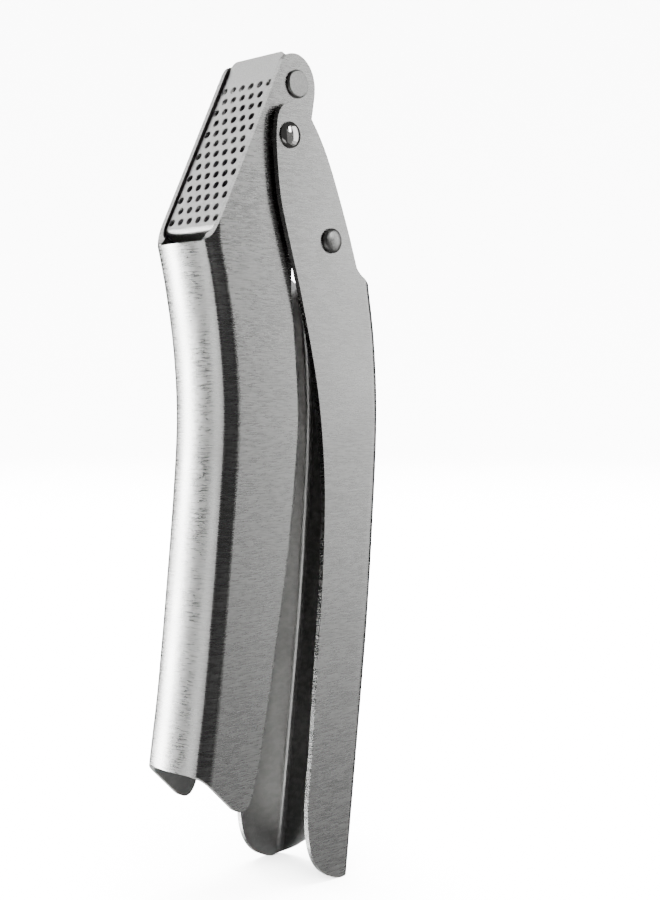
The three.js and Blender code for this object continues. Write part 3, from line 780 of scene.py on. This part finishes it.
class PRESS_OT_plunger(bpy.types.Operator):
    """Make the plunger: press plate, bracket, rivets, sleeve, pin and spacers"""
    bl_idname = "press.plunger"
    bl_label = "Plunger"

    def execute(self, context):
        press, own = context.scene.press_sizes, context.scene.plunger_sizes
        self.sheet, self.gap, self.shank = press.sheet / MM, press.face_gap / MM, press.shank / MM
        self.hole = self.shank + press.fit / MM
        self.low, self.face = self.plate_place(context.scene)
        self.back = self.face + own.plate / MM
        self.high = self.low + own.length / MM
        self.outer = half_width("plunger_bracket")
        self.rivet_rows = [(self.low + self.high) / 2 + own.rivets / MM * half for half in (0.5, -0.5)]
        self.plate()
        self.bracket()
        self.plate_rivets()
        inside = self.outer - self.sheet - self.gap
        self.ring("plunger_sleeve", "plunger", washer(SLEEVE_WALL, -inside, inside))
        spacer = washer(SPACER_WALL, self.outer + self.gap, LEVER_HALF - self.sheet - self.gap)
        self.ring("plunger_spacer_near", "lever", spacer, -1)
        self.ring("plunger_spacer_far", "lever", spacer)
        under, head = LEVER_HALF + self.gap, self.shank + PLUNGER_HEAD[0]
        far = [(self.shank, under), (head, under), *dome(head, PLUNGER_HEAD[1], under)]
        self.ring("plunger_pin", "lever", [(radius, -y) for radius, y in reversed(far)] + far)
        return {"FINISHED"}

    def plate_place(self, scene):
        """Where the press plate's low end and its face come, so that it meets the sieve when closed."""
        own, sieve = scene.plunger_sizes, scene.sieve_sizes
        turn = own.closing
        x, z = (pin - pivot for pin, pivot in zip(PLUNGER_PIVOT, MAIN_PIVOT))
        closed = (MAIN_PIVOT[0] + x * math.cos(turn) + z * math.sin(turn),
                  MAIN_PIVOT[1] - x * math.sin(turn) + z * math.cos(turn))
        pin_x, pin_z = in_sieve(closed)
        return (sieve_levels()[2] + LIP_CLEARANCE - pin_z,
                (sieve.sheet + own.closed_gap) / MM - pin_x)

    def ring(self, node, body, profile, side=1):
        """A piece turned round the plunger's pin."""
        obj = turned(node, profile, PLUNGER_PIVOT, side=side)
        settle_small(obj, node, body, "pin_steel", SMALL_EDGE)

    def stud(self, name, profile, z):
        """A piece turned about an axis square to the press plate; the profile is [radius, x]."""
        places = [plunger_frame(self.face + x, 0, z + radius) for radius, x in profile]
        middle = plunger_frame(self.face, 0, z)
        return spun(name, places, middle, (plunger_frame(self.face + 1, 0, z) - middle).normalized(), 48)

    def drilled(self, obj):
        """The piece with its two rivet holes, sunk at the press plate's face."""
        wide, narrow, through = PLATE_RIVET["sunk_hole"], PLATE_RIVET["hole"], 6
        profile = [(0, -0.2), (wide, -0.2), (narrow, PLATE_RIVET["sink"]), (narrow, through), (0, through)]
        return cut(obj, *[self.stud("sunk_hole", profile, z) for z in self.rivet_rows])

    def plate_rivets(self):
        """Two rivets, sunk in the press plate and domed behind its bracket."""
        shank, head, sink = PLATE_RIVET["radius"], PLATE_RIVET["head"], PLATE_RIVET["sink"]
        length = self.back - self.face + self.sheet + 2 * self.gap
        profile = [(0, 0), (head, 0), (shank, sink), (shank, length), (head, length),
                   *dome(head, PLATE_RIVET["dome"], length, 0.1)]
        for node, z in zip(("press_plate_rivet_upper", "press_plate_rivet_lower"), self.rivet_rows):
            settle_small(self.stud(node, profile, z), node, "plunger", "pin_steel", 0.06)

    def plate(self):
        """The press plate, with round corners."""
        corner, side, turn = PLATE_CORNER, PLATE_HALF, math.pi / 2
        drawn = Outline(0, self.low)
        for way, across, up in ((-1, 1, -1), (0, 1, 1), (1, -1, 1), (2, -1, -1)):
            level = self.high if up > 0 else self.low
            middle = (across * side - across * corner, level - up * corner)
            drawn.arc(middle, (corner, corner), way * turn, (way + 1) * turn, 10)
        obj = front_plate("press_plate", drawn.clean(), self.face, self.back, plunger_frame)
        # The press plate takes the near-black colour: painted shade behind the sieve's holes.
        settle_small(self.drilled(obj), "press_plate", "plunger", "sieve_steel", 0.2, "dark_shade_steel")

    def bracket(self):
        """The folded bracket behind the press plate, with a cheek each side that hangs on the pin."""
        base, half, bend, turn = self.back + self.gap, self.outer, BRACKET_BEND, math.pi / 2
        low, high, eye = self.low + BRACKET_INSET, self.high - BRACKET_INSET, self.hole + BRACKET_EYE_WALL
        tip, foot, inner = eye + 1, base + BRACKET_FOOT, bend - self.sheet
        upper, lower = (base + bend, half - bend), (base + bend, bend - half)
        ring = Outline(tip, half).arc(upper, (bend, bend), turn, 2 * turn, 10)
        ring.arc(lower, (bend, bend), 2 * turn, 3 * turn, 10).line((tip, -half), (tip, self.sheet - half))
        ring.arc(lower, (inner, inner), 3 * turn, 2 * turn, 10)
        ring.arc(upper, (inner, inner), 2 * turn, turn, 10).line((tip, half - self.sheet))
        obj = polygon("plunger_bracket", [plunger_frame(x, y, low - 1) for x, y in ring.clean()])
        way = plunger_frame(0, 0, high + 1) - plunger_frame(0, 0, low - 1)
        edit(obj, lambda: extrude(way), outward)
        cheek = Outline(base - 1, low).line((foot, low))
        cheek.arc((0, 0), (eye, eye), -0.9 * turn, 0.6 * turn, 32).line((foot, high), (base - 1, high))
        cut(obj, slab("cheek", cheek.clean(), -half - 1, half + 1, plunger_frame), operation="INTERSECT")
        cut(self.drilled(obj), bar(PLUNGER_PIVOT, self.hole, -half - 1, half + 1))
        # The bracket takes the same near-black colour: painted shade.
        settle_small(obj, "plunger_bracket", "plunger", "satin_steel", 0.2, "dark_shade_steel")


# ---- stage ----------------------------------------------------------------------------------------
def round_the_press(angle, distance, height):
    """A place round the press; the angle is in degrees from +X towards +Y."""
    turn = math.radians(angle)
    return Vector((distance * math.cos(turn), distance * math.sin(turn), height))


def softbox(name, place, size, brightness, in_metal=True):
    """A rectangular studio light that faces the press, as bright as given over its whole face."""
    lamp = bpy.data.lights.new(name, "AREA")
    lamp.shape = "RECTANGLE"
    lamp.size, lamp.size_y = size
    lamp.energy = brightness * math.pi * size[0] * size[1]
    obj = bpy.data.objects.new(name, lamp)
    obj.location = place
    obj.rotation_euler = (Vector((0, 0, 0.09)) - place).to_track_quat("-Z", "Y").to_euler()
    obj.visible_glossy = in_metal
    obj.visible_camera = False
    bpy.context.scene.collection.objects.link(obj)
    return obj


class PRESS_OT_stage(bpy.types.Operator):
    """Lay the floor and set the lights and the camera"""
    bl_idname = "press.stage"
    bl_label = "Stage"

    def execute(self, context):
        self.sweep()
        self.lights(context.scene)
        self.camera(context.scene)
        return {"FINISHED"}

    def sweep(self):
        """A round floor that curves up into a wall on every side."""
        deselect()
        tall, curve = 5, 1.4
        bpy.ops.mesh.primitive_cylinder_add(vertices=96, radius=3.8, depth=tall)
        sweep = bpy.context.object
        sweep.name = "sweep"
        sweep.data.name = "sweep"
        for corner in sweep.data.vertices:
            corner.co.z += tall / 2
        bpy.ops.object.mode_set(mode="EDIT")
        bpy.ops.mesh.select_all(action="DESELECT")
        bpy.ops.object.mode_set(mode="OBJECT")
        for face in sweep.data.polygons:
            face.select = face.normal.z > 0.9
        bpy.ops.object.mode_set(mode="EDIT")
        bpy.ops.mesh.delete(type="FACE")
        bpy.ops.object.mode_set(mode="OBJECT")
        for edge in sweep.data.edges:
            edge.select = all(sweep.data.vertices[i].co.z < 0.1 for i in edge.vertices)
        bpy.ops.object.mode_set(mode="EDIT")
        bpy.ops.mesh.bevel(offset=curve, segments=16, affect="EDGES")
        bpy.ops.mesh.select_all(action="SELECT")
        bpy.ops.mesh.normals_make_consistent(inside=True)
        bpy.ops.object.mode_set(mode="OBJECT")
        bpy.ops.object.shade_smooth()
        material = bpy.data.materials.new("sweep_paper")
        material.use_nodes = True
        shader = material.node_tree.nodes["Principled BSDF"]
        shader.inputs["Base Color"].default_value = (0.92, 0.92, 0.92, 1)
        shader.inputs["Roughness"].default_value = 1.0
        shader.inputs["Specular IOR Level"].default_value = 0.0
        sweep.data.materials.append(material)
        sweep.visible_glossy = False
        sweep.visible_shadow = False

    def lights(self, scene):
        world = bpy.data.worlds.new("studio")
        world.use_nodes = True
        scene.world = world
        background = world.node_tree.nodes["Background"]
        background.inputs["Color"].default_value = (1, 1, 1, 1)
        background.inputs["Strength"].default_value = 0.048
        self.wall_of_strips()
        self.side_panels()
        softbox("back_top", round_the_press(110, 1.1, 1.0), (0.9, 0.7), 1.55)
        softbox("floor_top", Vector((0.3, 0.3, 2.6)), (3.4, 3.4), 36, in_metal=False)
        softbox("wall_front", Vector((-1.6, -1.6, 1.2)), (2.6, 1.6), 42, in_metal=False)

    def wall_of_strips(self):
        """Tall strips side by side behind the press on the left, which band the webs."""
        distance, height, tall = 1.2, -0.09, 1.3
        strips = ((109, 114.5, 1.6), (114.5, 124, 24), (124, 129, 1.2), (129, 137, 0.1),
                  (146.5, 153.5, 2.6))
        for number, (start, end, brightness) in enumerate(strips):
            place = round_the_press((start + end) / 2, distance, height)
            softbox(f"strip_{number}", place, (distance * math.radians(end - start), tall), brightness)

    def side_panels(self):
        """Panels that shade the flanges, brightest at the top, two from below and one for the domes."""
        distance = 1.5
        panels = ((0.48, 0.94, -35.5, 0.63, 1.95), (-0.125, 0.27, -37.5, 0.68, 0.8),
                  (-0.43, 0.34, -40, 0.8, 0.2), (0.1, 1.4, -64, 0.7, 0.14))
        for number, (height, tall, angle, wide, brightness) in enumerate(panels):
            softbox(f"panel_{number}", round_the_press(angle, distance, height), (wide, tall), brightness)
        softbox("bounce_far", round_the_press(45, 1.4, -0.95), (2.4, 0.9), 1.0)
        softbox("bounce_near", round_the_press(225, 1.4, -1.05), (2.4, 0.8), 0.5)
        softbox("dome_light", round_the_press(-60, 1.4, 0.75), (0.22, 0.4), 9)

    def camera(self, scene):
        data = bpy.data.cameras.new("camera")
        data.sensor_width = 36
        data.lens = 59.16
        camera = bpy.data.objects.new("camera", data)
        camera.location = in_press(-217.58, -244.37, -68.26)
        heading = Vector((0.70535, 0.70803, -0.03444))
        camera.rotation_euler = heading.to_track_quat("-Z", "Y").to_euler()
        scene.collection.objects.link(camera)
        scene.camera = camera


class PRESS_PT_panel(bpy.types.Panel):
    """Lists the steps that build the press"""
    bl_label = "Garlic Press"
    bl_idname = "PRESS_PT_panel"
    bl_space_type = "VIEW_3D"
    bl_region_type = "UI"
    bl_category = "Garlic Press"

    def draw(self, context):
        for group in GROUPS:
            settings = getattr(context.scene, group)
            for name in settings.__annotations__:
                self.layout.prop(settings, name)
        for operator in OPERATORS:
            self.layout.operator(operator.bl_idname)


GROUPS = {"press_sizes": PressSizes, "sieve_sizes": SieveSizes, "plunger_sizes": PlungerSizes,
          "press_finish": PressFinish}
OPERATORS = (PRESS_OT_stage, PRESS_OT_body_handle, PRESS_OT_lever_handle, PRESS_OT_sieve,
             PRESS_OT_pivots, PRESS_OT_plunger)


def register():
    for name, group in GROUPS.items():
        bpy.utils.register_class(group)
        setattr(bpy.types.Scene, name, PointerProperty(type=group))
    for made in (*OPERATORS, PRESS_PT_panel):
        bpy.utils.register_class(made)


def unregister():
    for made in (PRESS_PT_panel, *reversed(OPERATORS)):
        bpy.utils.unregister_class(made)
    for name, group in GROUPS.items():
        delattr(bpy.types.Scene, name)
        bpy.utils.unregister_class(group)


def main():
    register()
    bpy.ops.press.stage()
    bpy.ops.press.body_handle()
    bpy.ops.press.lever_handle()
    bpy.ops.press.sieve()
    bpy.ops.press.pivots()
    bpy.ops.press.plunger()


if __name__ == "__main__":
    main()
